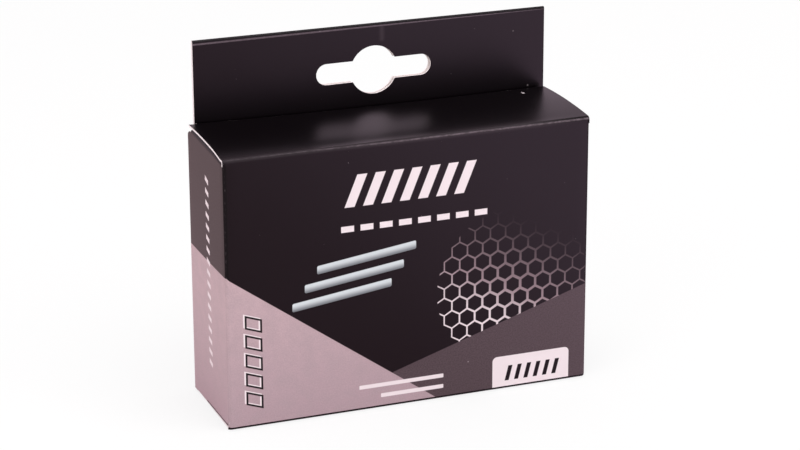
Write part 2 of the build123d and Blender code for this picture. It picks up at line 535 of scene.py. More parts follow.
class Graph:
    """Node tree of one material or of the world."""

    def __init__(self, owner: bpy.types.Material | bpy.types.World) -> None:
        """Empties the node tree.

        Args:
            owner: The material or world that it belongs to.
        """
        owner.use_nodes = True
        self.owner = owner
        self.tree = owner.node_tree
        self.tree.nodes.clear()

    @classmethod
    def of_finish(cls, name: str) -> Graph:
        """Starts a new material with this name."""
        return cls(bpy.data.materials.new(name))

    def node(
        self,
        kind: str,
        settings: Mapping[str, object] | None = None,
        inputs: Mapping[str | int, object] | None = None,
        output: str | int | None = 0,
    ) -> Value | None:
        """Adds any node.

        Args:
            kind: The node's type.
            settings: Its own properties, which are set first.
            inputs: What each input takes: a link from another node, or a constant.
            output: The output that is handed back, or None for a node that ends the graph.

        Returns:
            That output.
        """
        made = self.tree.nodes.new(kind)
        for name, setting in (settings or {}).items():
            setattr(made, name, setting)
        for name, value in (inputs or {}).items():
            if isinstance(value, Value):
                self.tree.links.new(value.socket, made.inputs[name])
            else:
                made.inputs[name].default_value = value
        return None if output is None else Value(self, made.outputs[output])

    def place(self) -> Value:
        """Place in space, in the frame at rest, in metres."""
        return self.node("ShaderNodeTexCoord", output="Object")

    def blank(self) -> tuple[Value, Value, Value]:
        """Place on the flat blank, in millimetres.

        Returns:
            The place as a vector, across the blank and up it.
        """
        spot = self.node("ShaderNodeUVMap", {"uv_map": BLANK_MAP})
        across = self.axis(spot, "X")
        return spot, across, across.beside("Y")

    def axis(self, vector: Value, name: str) -> Value:
        """One part of a vector, by the name of its axis."""
        return self.node("ShaderNodeSeparateXYZ", inputs={0: vector}, output=name)

    def scaled(self, vector: Value, factors: Sequence[float]) -> Value:
        """A vector times constant factors."""
        return self.node("ShaderNodeVectorMath", {"operation": "MULTIPLY"}, {0: vector, 1: factors})

    def noise(self, vector: Value, scale: float, detail: float = 2.0) -> Value:
        """Smooth noise from 0 to 1."""
        return self.node("ShaderNodeTexNoise", inputs={"Vector": vector, "Scale": scale, "Detail": detail})

    def cells(self, vector: Value, scale: float) -> Value:
        """Distance from the nearest of many scattered points."""
        inputs = {"Vector": vector, "Scale": scale}
        return self.node("ShaderNodeTexVoronoi", inputs=inputs, output="Distance")

    def mixed(self, share: Value | float, low: Value | Colour, high: Value | Colour) -> Value:
        """Colour that goes from low to high with share."""
        settings = {"data_type": "RGBA"}
        return self.node("ShaderNodeMix", settings, {"Factor": share, 6: low, 7: high}, output=2)

    def bump(self, height: Value, strength: float, distance: float) -> Value:
        """Normal of a surface with this relief."""
        inputs = {"Height": height, "Strength": strength, "Distance": distance}
        return self.node("ShaderNodeBump", inputs=inputs)

    def surface(self, **inputs: object) -> bpy.types.Material:
        """Ends the graph in a Principled shader.

        Args:
            inputs: Its sockets by name, with underscores for spaces.

        Returns:
            The finished material.
        """
        named = {name.replace("_", " "): value for name, value in inputs.items()}
        self.close(self.node("ShaderNodeBsdfPrincipled", inputs=named))
        return self.owner

    def close(self, shader: Value) -> None:
        """Ends the graph in this shader."""
        kind = "World" if isinstance(self.owner, bpy.types.World) else "Material"
        self.node(f"ShaderNodeOutput{kind}", inputs={"Surface": shader}, output=None)


@dataclass(frozen=True)
class Inks:
    """Colours of the print, without gloss. The pale blush also paints light on the upper panels, and the
    worn-ink colour also paints highlights on the lid's crease and below the tab's crest.
    """

    ground: Colour = ink(4, 1, 3)
    blush: Colour = ink(176, 151, 159)
    blush_grey: Colour = ink(167, 149, 154)
    # Painted light: the blush turns to this paler colour towards the top of the panels.
    blush_painted_light: Colour = ink(194, 167, 173)
    slate: Colour = ink(83, 69, 74)
    chalk: Colour = ink(231, 218, 222)
    silver_light: Colour = ink(204, 210, 214)
    silver_shade: Colour = ink(112, 116, 122)
    # Worn ink on the upright folds and the scuff, and painted highlight on the lid's crease and below the
    # tab's crest.
    rubbed_and_highlight: Colour = ink(122, 108, 116)


@dataclass(frozen=True)
class Stripes:
    """A run of equal slanted bars on the blank, in millimetres."""

    start: float
    low: float
    high: float
    pitch: float
    bar: float
    count: int
    slant: float = 0.0

    def cover(self, along: Value, up: Value, soft: float) -> Value:
        """Mask of the bars.

        Args:
            along: Place along the run.
            up: Place across it.
            soft: Half the width of the mask's edge.

        Returns:
            1 on the bars and 0 elsewhere.
        """
        middle = (self.low + self.high) / 2
        leaned = along - (up - middle) * self.slant - self.start
        bar = self.bar / 2
        within = abs(leaned % self.pitch - self.pitch / 2).ease(bar + soft, bar - soft)
        run = abs(leaned - self.pitch * self.count / 2) < self.pitch * self.count / 2
        half = (self.high - self.low) / 2
        level = abs(up - middle).ease(half + soft, half - soft)
        return within & run & level

    def outline(self, along: Value, up: Value, soft: float, line: float) -> Value:
        """Mask of the bars' outlines.

        Args:
            along: Place along the run.
            up: Place across it.
            soft: Half the width of the mask's edge.
            line: Width of the outline.

        Returns:
            1 on the outlines and 0 elsewhere.
        """
        inside = replace(self, bar=self.bar - 2 * line, low=self.low + line, high=self.high - line)
        return self.cover(along, up, soft) - inside.cover(along, up, soft)


@dataclass(frozen=True)
class PrintLayout:
    """Places of the print on the flat blank, in millimetres from the middle of the front panel's foot.

    The label has its left, right and upper edge, and each rule its two ends and its level.
    """

    half_width: float
    depth: float
    height: float
    tab_top: float
    soft: float = 0.07
    foot: float = 0.8
    side_foot: float = 1.4
    foot_run: float = 0.62
    blush_side: float = 41.5
    blush_foot: float = 7.9
    blush_low: float = -5.0
    slate_apex: Pair = (-4.7, 9.8)
    slate_side: float = 27.0
    label: Triple = (23.0, 45.0, 9.45)
    label_corner: float = 1.3
    comb_centre: Pair = (28.5, 29.5)
    comb_radius: float = 21.5
    comb_pitch: float = 4.3
    comb_line: float = 0.075
    comb_thinning: Pair = (1.25, 0.75)
    comb_soft: float = 0.015
    comb_rim: Pair = (1.0, 0.985)
    comb_lean: float = 0.45
    comb_pale: Pair = (-0.95, 0.75)
    comb_lit: Pair = (0.6, 1.0)
    comb_shine: float = 0.8
    bars_from: Pair = (-32.5, 31.3)
    bars_step: Pair = (3.4, 4.7)
    bars_half: Pair = (13.5, 1.1)
    bars_slope: float = 0.13
    bars_corner: float = 0.4
    bars_shade: Pair = (0.6, -1.05)
    bars_count: int = 3
    headline: Stripes = Stripes(start=-17.5, low=56.5, high=65.0, pitch=5.0, bar=2.7, count=7, slant=0.42)
    dashes: Stripes = Stripes(start=-20.0, low=49.9, high=51.5, pitch=5.25, bar=3.5, count=8)
    tally: Stripes = Stripes(start=26.3, low=2.4, high=6.6, pitch=2.7, bar=1.2, count=6, slant=0.25)
    ladder: Stripes = Stripes(start=5.0, low=40.7, high=45.3, pitch=5.2, bar=3.7, count=5, slant=0.35)
    ladder_line: float = 0.52
    ladder_shift: float = 0.42
    side_ticks: Stripes = Stripes(start=12.0, low=62.9, high=65.5, pitch=3.1, bar=1.25, count=17, slant=0.3)
    rules: tuple[Triple, ...] = ((-14.5, 9.0, 6.6), (-8.5, 9.0, 3.6))
    rule_width: float = 1.1
    rule_corner: float = 0.2


@dataclass(frozen=True)
class WearAndHighlights:
    """Rubbed folds, scuffs and dust on the print, and painted highlights along the lid's crease, where the
    ink is also worn, and below the tab's crest, in millimetres on the blank.

    A line's two widths are those at which its mask ends and at which it is whole. What runs along the
    lid's crease is given in shares of half its length. Each speck has its middle, its half width and
    height, and its strength. Each spread of dust has its scale, its grains' size and their strength.
    """

    craze: Pair = (1.0, 0.5)
    patch_scale: float = 0.9
    fold_line: Pair = (0.5, 0.05)
    fold_patches: Pair = (0.5, 0.8)
    fold_rub: float = 0.25
    # The lid's crease: a pale line of painted highlight with some worn ink, fainter to the left, and a
    # fainter band of painted highlight just below it.
    crease_line: Pair = (0.5, 0.1)
    crease_patches: Pair = (0.3, 0.7)
    crease_highlight_and_rub: Pair = (0.3, 0.35)
    crease_left: float = 0.42
    crease_growth: Pair = (-1.0, 0.3)
    crease_slip: float = 0.35
    crease_slope: Pair = (-0.7, 0.0)
    crease_border: Pair = (-1.3, 4.0)
    crease_core: Pair = (-0.1, 0.3)
    crease_highlight_haze: float = 0.14
    highlight_haze_end: Pair = (1.0, 0.6)
    # Painted highlight: a pale line on the hang tab just below its top fold.
    crest_rise: float = 0.85
    crest_highlight_line: Pair = (0.32, 0.12)
    crest_highlight: Pair = (0.35, 0.35)
    scuff_centre: Pair = (3.4, 92.6)
    scuff_half: Pair = (0.3, 1.8)
    scuff_edge: Pair = (0.9, -0.5)
    scuff_rub: float = 0.12
    specks: tuple[tuple[Pair, Pair, float], ...] = (
        ((41.4, 97.0), (0.4, 0.7), 0.7),
        ((-175.6, 117.3), (0.22, 0.22), 0.2),
        ((-171.2, 101.8), (0.18, 0.18), 0.15),
    )
    speck_edge: Pair = (0.1, -0.1)
    dust: tuple[Triple, ...] = ((0.12, 0.032, 0.25), (0.3, 0.03, 0.3))
    dust_sizes: Pair = (0.45, 1.0)
    dust_edge: Pair = (-0.002, 0.006)


@dataclass(frozen=True)
class PrintedCard:
    """Satin-varnished print on the outside of the card."""

    layout: PrintLayout
    inks: Inks = Inks()
    wear_and_highlights: WearAndHighlights = WearAndHighlights()
    roughness: float = 0.32
    mottle: float = 0.16
    dull_roughness: float = 0.45
    gloss: float = 0.22
    grain_scale: float = 2.4
    grain_height: float = 0.12
    wave_scale: float = 0.055
    wave_height: float = 3.0
    relief: float = 0.06 * MM
    ink_grain_scale: float = 2.6
    ink_cloud_scale: float = 0.3
    slate_grain: float = 0.3
    blush_grain: float = 0.15
    blush_cloud: float = 0.35
    name: str = "printed_card"

    def _box(self, across: Value, up: Value, middle: Pair, half: Pair, corner: float) -> Value:
        """Distance from a rectangle with rounded corners, in millimetres.

        Args:
            across: Place across the blank.
            up: Place up the blank.
            middle: The rectangle's middle.
            half: Half its width and height.
            corner: Radius of its corners.

        Returns:
            The distance, negative inside it.
        """
        side = abs(across - middle[0]) - (half[0] - corner)
        level = abs(up - middle[1]) - (half[1] - corner)
        out_side = side | 0.0
        out_level = level | 0.0
        return (out_side * out_side + out_level * out_level).root() + ((side | level) & 0.0) - corner

    def _comb(self, across: Value, up: Value) -> tuple[Value, Value]:
        """Round field of honeycomb lines.

        Args:
            across: Place across the blank.
            up: Place up the blank.

        Returns:
            The mask of the lines, and how pale they are.
        """
        layout = self.layout
        tall = sqrt(3)
        right = across - layout.comb_centre[0]
        rise = up - layout.comb_centre[1]
        cell_x = right / layout.comb_pitch
        cell_y = rise / layout.comb_pitch
        even = (cell_x % 1.0 - 0.5, cell_y % tall - tall / 2)
        odd = ((cell_x - 0.5) % 1.0 - 0.5, (cell_y - tall / 2) % tall - tall / 2)
        nearer = (even[0] * even[0] + even[1] * even[1]) < (odd[0] * odd[0] + odd[1] * odd[1])
        step_x = abs(odd[0] + (even[0] - odd[0]) * nearer)
        step_y = abs(odd[1] + (even[1] - odd[1]) * nearer)
        edge = step_x | (step_x * 0.5 + step_y * (tall / 2))
        reach = (right * right + rise * rise).root() / layout.comb_radius
        line = layout.comb_line * (layout.comb_thinning[0] - reach * layout.comb_thinning[1])
        lines = (edge - (0.5 - line)).ease(-layout.comb_soft, layout.comb_soft)
        fall = (rise + right * layout.comb_lean) / -layout.comb_radius
        return lines & reach.ease(*layout.comb_rim), fall.ease(*layout.comb_pale)

    def _bars(self, across: Value, up: Value) -> tuple[Value, Value]:
        """Stepped, parallel silver bars.

        Args:
            across: Place across the blank.
            up: Place up the blank.

        Returns:
            The mask of the bars, and how shaded each is across its width.
        """
        layout = self.layout
        half = layout.bars_half
        covers: list[Value] = []
        shades: list[Value] = []
        for step in range(layout.bars_count):
            left = layout.bars_from[0] + layout.bars_step[0] * step
            low = layout.bars_from[1] + layout.bars_step[1] * step
            leaned = up - (across - left) * layout.bars_slope
            bar = self._box(across, leaned, (left + half[0], low), half, layout.bars_corner)
            covers.append(bar.ease(layout.soft, -layout.soft))
            shades.append(((leaned - low) / half[1]).ease(*layout.bars_shade) * covers[-1])
        return reduce(or_, covers), reduce(or_, shades)

    def _fields(self, graph: Graph, blank: Value, across: Value, up: Value, under: Value) -> Value:
        """Lays the large fields of colour, which go right round the carton, over what is printed so far.

        Args:
            graph: The material's node tree.
            blank: Place on the blank.
            across: Place across it.
            up: Place up it.
            under: The colour so far.

        Returns:
            The colour with the fields.
        """
        layout = self.layout
        inks = self.inks
        soft = layout.soft
        half = layout.half_width
        grain = graph.noise(blank, self.ink_grain_scale, 2.0)
        cloud = graph.noise(blank, self.ink_cloud_scale, 3.0)
        on_back = across < -(half + layout.depth)
        foot = layout.foot + (abs(across) > half) * (layout.side_foot - layout.foot)
        no_foot = abs(across) > half + layout.foot_run * layout.depth
        on_wall = (up > foot - no_foot * layout.height) & (up < layout.height)
        x = across - on_back * (2.0 * across + (2 * half + layout.depth))
        apex_x, apex_level = layout.slate_apex
        slate_rise = (layout.slate_side - apex_level) / (half - apex_x)
        slate_edge = apex_level + ((x & half) - apex_x) * slate_rise
        slate = (up - slate_edge).ease(soft, -soft) & on_wall & (x > -half)
        slate_ink = graph.mixed(grain.ease(0.25, 0.75) * self.slate_grain, inks.slate, inks.ground)
        colour = graph.mixed(slate, under, slate_ink)
        blush_fall = layout.blush_side / (half + layout.blush_foot)
        blush_edge = layout.blush_side - ((x + half) | 0.0) * blush_fall
        blush = (up - blush_edge).ease(soft, -soft) & on_wall & (x < half)
        # Painted light and shade: the blush is paler towards its top and darker towards the foot.
        blush_ink = graph.mixed(up.ease(layout.blush_low, layout.blush_side), inks.blush, inks.blush_painted_light)
        blush_ink = graph.mixed(cloud.ease(0.25, 0.75) * self.blush_cloud, blush_ink, inks.blush_grey)
        blush_ink = graph.mixed(grain.ease(0.2, 0.8) * self.blush_grain, blush_ink, inks.slate)
        return graph.mixed(blush, colour, blush_ink)

    def _from_upright(self, across: Value) -> Value:
        """Distance from the nearest upright fold, in millimetres."""
        half_depth = self.layout.depth / 2
        return abs(abs(abs(across) - (self.layout.half_width + half_depth)) - half_depth)

    def _folds(self, across: Value, up: Value) -> Value:
        """Finds the folds, where the varnish is crazed and dull.

        Args:
            across: Place across the blank.
            up: Place up the blank.

        Returns:
            The mask of the folds.
        """
        layout = self.layout
        half, depth, middle = layout.half_width, layout.depth, layout.height / 2
        from_middle = abs(up - middle)
        upright = self._from_upright(across) + (from_middle > middle) * depth
        crease = abs(from_middle - middle) + (abs(across) > half) * depth
        return (upright & crease).ease(*self.wear_and_highlights.craze)

    def _mark_wear_and_highlights(self, graph: Graph, blank: Value, across: Value, up: Value, under: Value) -> Value:
        """Rubs the print along its upright folds, paints a highlight with some worn ink along the lid's
        crease and a highlight below the tab's crest, and leaves scuffs, specks and a little dust on it.

        Args:
            graph: The material's node tree.
            blank: Place on the blank.
            across: Place across it.
            up: Place up it.
            under: The fresh print.

        Returns:
            The worn print, with its painted highlights.
        """
        layout, inks, wear_and_highlights = self.layout, self.inks, self.wear_and_highlights
        half = layout.half_width
        patches = graph.noise(blank, wear_and_highlights.patch_scale, 3.0)
        fold = self._from_upright(across).ease(*wear_and_highlights.fold_line) * patches.ease(*wear_and_highlights.fold_patches)
        # Painted highlight along the lid's crease, with some worn ink: a pale line, fainter to the left,
        # over a band of painted highlight just below it.
        along = across / half
        growth = wear_and_highlights.crease_left + along.ease(*wear_and_highlights.crease_growth) * (1 - wear_and_highlights.crease_left)
        highlight_and_rub = (wear_and_highlights.crease_highlight_and_rub[0] + patches.ease(*wear_and_highlights.crease_patches) * wear_and_highlights.crease_highlight_and_rub[1]) * growth
        edge = up - layout.height + along.ease(*wear_and_highlights.crease_slope) * wear_and_highlights.crease_slip
        below, above = (edge.ease(*limits) for limits in zip(wear_and_highlights.crease_border, wear_and_highlights.crease_core))
        highlight_haze = below * above * along.ease(*wear_and_highlights.highlight_haze_end)
        line = abs(edge).ease(*wear_and_highlights.crease_line) * highlight_and_rub
        crease = (line | highlight_haze * wear_and_highlights.crease_highlight_haze) * (abs(across) < half + 1)
        # Painted highlight: a pale line on the tab just below its top fold, uneven along it.
        on_tab = across < -(half + layout.depth)
        crest = abs(up - (layout.tab_top + wear_and_highlights.crest_rise)).ease(*wear_and_highlights.crest_highlight_line)
        crest = crest * (wear_and_highlights.crest_highlight[0] + patches * wear_and_highlights.crest_highlight[1]) * on_tab
        scuff_x = -(2 * half + layout.depth + wear_and_highlights.scuff_centre[0])
        scuff_middle = (scuff_x, 2 * layout.tab_top - wear_and_highlights.scuff_centre[1])
        scuff = self._box(across, up, scuff_middle, wear_and_highlights.scuff_half, wear_and_highlights.scuff_half[0])
        scuff = scuff.ease(*wear_and_highlights.scuff_edge) * wear_and_highlights.scuff_rub
        colour = graph.mixed(fold * wear_and_highlights.fold_rub | crease | crest | scuff, under, inks.rubbed_and_highlight)
        for middle, reach, strength in wear_and_highlights.specks:
            speck = self._box(across, up, middle, reach, reach[0]).ease(*wear_and_highlights.speck_edge) * strength
            colour = graph.mixed(speck, colour, inks.chalk)
        for spread, size, strength in wear_and_highlights.dust:
            grains = graph.cells(blank, spread)
            kept = graph.node("ShaderNodeSeparateColor", inputs={"Color": grains.beside("Color")})
            reach = kept.ease(*wear_and_highlights.dust_sizes) * size
            colour = graph.mixed((reach - grains).ease(*wear_and_highlights.dust_edge) * strength, colour, inks.chalk)
        return colour

    def _colour(self, graph: Graph, blank: Value, across: Value, up: Value) -> Value:
        """Colour of the print with its grain, rubbing and dust.

        Args:
            graph: The material's node tree.
            blank: Place on the blank.
            across: Place across it.
            up: Place up it.

        Returns:
            The base colour.
        """
        layout = self.layout
        inks = self.inks
        soft = layout.soft
        on_front = (abs(across) < layout.half_width) & (up > layout.foot) & (up < layout.height)

        lines, pale = self._comb(across, up)
        lit = graph.mixed(pale.ease(*layout.comb_lit) * layout.comb_shine, inks.blush, inks.chalk)
        colour = graph.mixed(lines & on_front, inks.ground, graph.mixed(pale, inks.ground, lit))
        bars, shade = self._bars(across, up)
        silver = graph.mixed(shade, inks.silver_light, inks.silver_shade)
        colour = graph.mixed(bars & on_front, colour, silver)
        white = layout.headline.cover(across, up, soft) | layout.dashes.cover(across, up, soft)
        colour = graph.mixed(white & on_front, colour, inks.chalk)
        colour = self._fields(graph, blank, across, up, colour)

        left, right, top = layout.label
        spread = ((right - left) / 2, top)
        label = self._box(across, up, ((left + right) / 2, 0.0), spread, layout.label_corner)
        colour = graph.mixed(label.ease(soft, -soft) & on_front, colour, inks.chalk)
        colour = graph.mixed(layout.tally.cover(across, up, soft) & on_front, colour, inks.ground)
        for first, last, level in layout.rules:
            half = ((last - first) / 2, layout.rule_width / 2)
            rule = self._box(across, up, ((first + last) / 2, level), half, layout.rule_corner)
            colour = graph.mixed(rule.ease(soft, -soft), colour, inks.chalk)
        for shift, tint in ((layout.ladder_shift, inks.chalk), (0.0, inks.ground)):
            ladder = layout.ladder.outline(up - shift, (across + shift) * -1.0, soft, layout.ladder_line)
            colour = graph.mixed(ladder & on_front, colour, tint)
        ticks = layout.side_ticks.cover(up, across * -1.0, soft)
        colour = graph.mixed(ticks & (across < -layout.half_width), colour, inks.chalk)
        return self._mark_wear_and_highlights(graph, blank, across, up, colour)

    def material(self) -> bpy.types.Material:
        """Builds the material.

        Returns:
            The material.
        """
        graph = Graph.of_finish(self.name)
        blank, across, up = graph.blank()
        grain = graph.noise(blank, self.grain_scale, 3.0)
        wave = graph.noise(blank, self.wave_scale, 1.0)
        dullness = (grain - 0.5) * self.mottle + self._folds(across, up) * self.dull_roughness
        height = grain * self.grain_height + wave * self.wave_height
        return graph.surface(
            Base_Color=self._colour(graph, blank, across, up),
            Roughness=self.roughness + dullness,
            Specular_IOR_Level=self.gloss,
            Normal=graph.bump(height, 0.5, self.relief),
        )


@dataclass(frozen=True)
class BareBoard:
    """Uncoated back of the card, with short fibres."""

    tint: Colour = ink(226, 219, 214)
    fleck: Colour = ink(188, 180, 174)
    fibre_scale: Triple = (900.0, 900.0, 2600.0)
    cloud_scale: float = 60.0
    roughness: float = 0.86
    mottle: float = 0.1
    gloss: float = 0.25
    relief: float = 0.05 * MM
    name: str = "bare_board"

    def material(self) -> bpy.types.Material:
        """Builds the material.

        Returns:
            The material.
        """
        graph = Graph.of_finish(self.name)
        place = graph.place()
        fibre = graph.noise(graph.scaled(place, self.fibre_scale), 1.0, 3.0)
        cloud = graph.noise(place, self.cloud_scale, 2.0)
        colour = graph.mixed(fibre.ease(0.5, 0.8) * 0.5 + cloud * 0.2, self.tint, self.fleck)
        return graph.surface(
            Base_Color=colour,
            Roughness=self.roughness + (cloud - 0.5) * self.mottle,
            Specular_IOR_Level=self.gloss,
            Normal=graph.bump(fibre, 0.35, self.relief),
        )


@dataclass(frozen=True)
class CutEdge:
    """White core of the card where the die cut it."""

    core: Colour = ink(250, 238, 240)
    crushed: Colour = ink(206, 192, 194)
    torn_scale: float = 1500.0
    roughness: float = 0.8
    gloss: float = 0.25
    relief: float = 0.05 * MM
    name: str = "cut_edge"

    def material(self) -> bpy.types.Material:
        """Builds the material.

        Returns:
            The material.
        """
        graph = Graph.of_finish(self.name)
        torn = graph.noise(graph.place(), self.torn_scale, 3.0)
        colour = graph.mixed(torn.ease(0.55, 0.8) * 0.6, self.core, self.crushed)
        return graph.surface(
            Base_Color=colour,
            Roughness=self.roughness,
            Specular_IOR_Level=self.gloss,
            Normal=graph.bump(torn, 0.4, self.relief),
        )


@dataclass(frozen=True)
class ReflectiveFilm:
    """Silver-grey film of tiny beads round each reflector."""

    pale: Colour = ink(214, 218, 222)
    dull: Colour = ink(158, 164, 170)
    bead_scale: float = 2600.0
    drawn_scale: Triple = (60.0, 900.0, 900.0)
    roughness: float = 0.36
    mottle: float = 0.2
    metal: float = 0.25
    relief: float = 0.03 * MM
    name: str = "reflective_film"

    def material(self) -> bpy.types.Material:
        """Builds the material.

        Returns:
            The material.
        """
        graph = Graph.of_finish(self.name)
        place = graph.place()
        beads = graph.cells(place, self.bead_scale)
        drawn = graph.noise(graph.scaled(place, self.drawn_scale), 1.0, 2.0)
        dullness = beads.ease(0.15, 0.6) * 0.45 + drawn.ease(0.4, 0.75) * 0.35
        colour = graph.mixed(dullness, self.pale, self.dull)
        return graph.surface(
            Base_Color=colour,
            Metallic=self.metal,
            Roughness=self.roughness + (drawn - 0.5) * self.mottle,
            Normal=graph.bump(beads, 0.25, self.relief),
        )


@dataclass(frozen=True)
class MouldedCore:
    """Milky plastic inside each reflector."""

    milk: Colour = ink(232, 234, 234)
    shade: Colour = ink(204, 208, 210)
    cloud_scale: float = 700.0
    roughness: float = 0.42
    mottle: float = 0.15
    relief: float = 0.03 * MM
    name: str = "moulded_core"

    def material(self) -> bpy.types.Material:
        """Builds the material.

        Returns:
            The material.
        """
        graph = Graph.of_finish(self.name)
        cloud = graph.noise(graph.place(), self.cloud_scale, 2.0)
        return graph.surface(
            Base_Color=graph.mixed(cloud.ease(0.35, 0.75), self.milk, self.shade),
            Roughness=self.roughness + (cloud - 0.5) * self.mottle,
            Normal=graph.bump(cloud, 0.15, self.relief),
        )


@dataclass
class Sleeve:
    """Glued tube of four panels, with its four dust flaps and its glue strip."""

    sizes: CartonSizes
    settling: Settling
    front_swell: float = 0.25 * MM
    side_swell: float = 0.12 * MM
    dust_length: float = 22.0 * MM
    dust_clearance: float = 1.5 * MM
    dust_taper: float = 2.5 * MM
    dust_corner: float = 3.0 * MM
    glue_width: float = 12.0 * MM
    glue_inset: float = 4.0 * MM
    glue_taper: float = 4.0 * MM
    corner_crest: float = 0.2 * MM
    foot_gap: float = 0.25 * MM
    foot_fold: float = 0.55 * MM
    foot_dust_gap: float = 0.08 * MM
    seam: float = 0.02 * MM
    corner_stop: float = 0.65
    rows: int = 19
    back_spans: int = 24
    front_spans: int = 36
    rear_spans: int = 8
    dust_spans: int = 11
    bend_steps: int = 8

    def _dust_depths(self) -> np.ndarray:
        """Cuts the fold of a dust flap along its length.

        Returns:
            Depths from its front end to its rear one.
        """
        sizes = self.sizes
        rear = sizes.lid_rear - sizes.board - self.dust_clearance
        return np.linspace(sizes.front + sizes.fold_outside, rear, self.dust_spans + 1)

    def _dust_fold(self, upper: bool) -> Pair:
        """Places a dust flap's fold, drawn at the upper end; the lower fold is tighter.

        Args:
            upper: Whether the flap is under the lid.

        Returns:
            The height at which the fold starts, and its radius.
        """
        sizes = self.sizes
        if upper:
            return sizes.side_top, sizes.fold_outside
        return sizes.height - sizes.board - self.foot_dust_gap - self.foot_fold, self.foot_fold

    def _columns(self) -> list[tuple[Pair, Pair, float, float]]:
        """Upright lines round the sleeve, from the back panel's right edge by the left side and back.

        Returns:
            Each line's place, the way it faces, its place along the blank and its panel's swelling.
        """
        sizes = self.sizes
        fold = sizes.fold_outside
        right = sizes.width / 2
        near = sizes.front + fold
        far = sizes.rear - fold
        columns: list[tuple[Pair, Pair, float, float]] = []

        def corner(side: int, y: float, start: float, end: float, blank: Callable[[float], float]) -> None:
            """Adds the rounded edge between two panels.

            Args:
                side: -1 on the left and 1 on the right.
                y: Depth of its centre.
                start: First angle in degrees.
                end: Last angle in degrees.
                blank: Turns a share of the way round into a place along the blank.
            """
            centre = (side * (right - fold), y)
            for step, spot in enumerate(arc(centre, fold, start, end, self.bend_steps)):
                facing = ((spot[0] - centre[0]) / fold, (spot[1] - centre[1]) / fold)
                columns.append((spot, facing, blank(step / self.bend_steps), 0.0))

        def swell(share: float, most: float) -> float:
            """Swelling of a panel at a share of its breadth."""
            return most * (1 - (2 * share - 1) ** 2)

        for share in np.linspace(0, 1, self.back_spans + 1)[:-1]:
            x = (right - fold) * (1 - 2 * share)
            proud = swell(share, self.side_swell)
            columns.append(((x, sizes.rear), (0, 1), sizes.on_back(x), proud))
        back_end = sizes.on_back(fold - right)
        left_start = sizes.on_side(-1, far)
        corner(-1, far, 90, 180, lambda share: back_end + (left_start - back_end) * share)
        dust = self._dust_depths()
        rear = np.linspace(dust[-1] + self.seam, far, self.rear_spans + 1)
        depths = np.concatenate([dust, rear])
        for y in depths[-2:0:-1]:
            share = (y - near) / (far - near)
            proud = swell(share, self.side_swell)
            columns.append(((-right, y), (-1, 0), sizes.on_side(-1, y), proud))
        corner(-1, near, 180, 270, lambda share: (-right - fold + 2 * fold * share) / MM)
        for share in np.linspace(0, 1, self.front_spans + 1)[1:-1]:
            x = (right - fold) * (2 * share - 1)
            columns.append(((x, sizes.front), (0, -1), x / MM, swell(share, self.front_swell)))
        corner(1, near, -90, 0, lambda share: (right - fold + 2 * fold * share) / MM)
        for y in depths[1:-1]:
            share = (y - near) / (far - near)
            proud = swell(share, self.side_swell)
            columns.append(((right, y), (1, 0), sizes.on_side(1, y), proud))
        corner(1, far, 0, 90, lambda share: sizes.on_side(1, far) + 2 * fold * share / MM)
        return columns

    def _rims(self, y: float) -> Pair:
        """Heights of the lower and the upper rim at this depth.

        Args:
            y: The depth.

        Returns:
            The lower rim, which reaches down to the base flap beside the dust flap, and the upper one with
            its rounded rear corner.
        """
        sizes = self.sizes
        corner_end = sizes.rear - self.corner_stop * sizes.fold_outside
        over = min(1.0, (y - corner_end + sizes.corner_run) / sizes.corner_run)
        dust = self._dust_depths()
        if y < dust[0]:
            return sizes.side_bottom, sizes.side_top
        if y <= dust[-1]:
            return sizes.height - self._dust_fold(False)[0], sizes.side_top
        drop = (sizes.corner_drop + self.corner_crest) * (1 - sqrt(1 - over**2))
        return sizes.board + self.foot_gap, sizes.side_top + self.corner_crest - drop

    def _add_walls(self, mesh: CardMesh) -> None:
        """Adds the four panels as one sheet.

        Args:
            mesh: The piece that takes them.
        """
        sizes = self.sizes
        outer, inner, blank = [], [], []
        shares = np.linspace(0, 1, self.rows)
        for spot, facing, along, swell in self._columns():
            low, high = self._rims(spot[1])
            levels = low + (high - low) * shares
            proud = swell * (1 - (2 * shares - 1) ** 2)
            skins = ((outer, proud), (inner, proud - sizes.board))
            for skin, shift in skins:
                x, y = (spot[axis] + facing[axis] * shift for axis in (0, 1))
                skin.append(np.stack([x, y, levels], axis=1))
            blank.append(np.stack([np.full(self.rows, along), levels / MM], axis=1))
        mesh.add_grid(np.array(outer), np.array(inner), np.array(blank))

    def _add_dust_flap(self, mesh: CardMesh, side: int, upper: bool) -> None:
        """Adds one dust flap with its fold.

        Args:
            mesh: The piece that takes it.
            side: -1 for the left side panel and 1 for the right.
            upper: Whether it is under the lid.
        """
        sizes = self.sizes
        right = sizes.width / 2
        start, fold = self._dust_fold(upper)
        depths = self._dust_depths()
        near, far = depths[0], depths[-1]
        shift = sizes.on_side(side, sizes.front)

        def level(height: float) -> float:
            """Height for this end of the carton."""
            return height if upper else sizes.height - height

        def blank(run: float, y: float) -> Pair:
            """Place on the flat blank, from the length along the card past the side panel."""
            return (shift + side * (y - sizes.front) / MM, level(start + run) / MM)

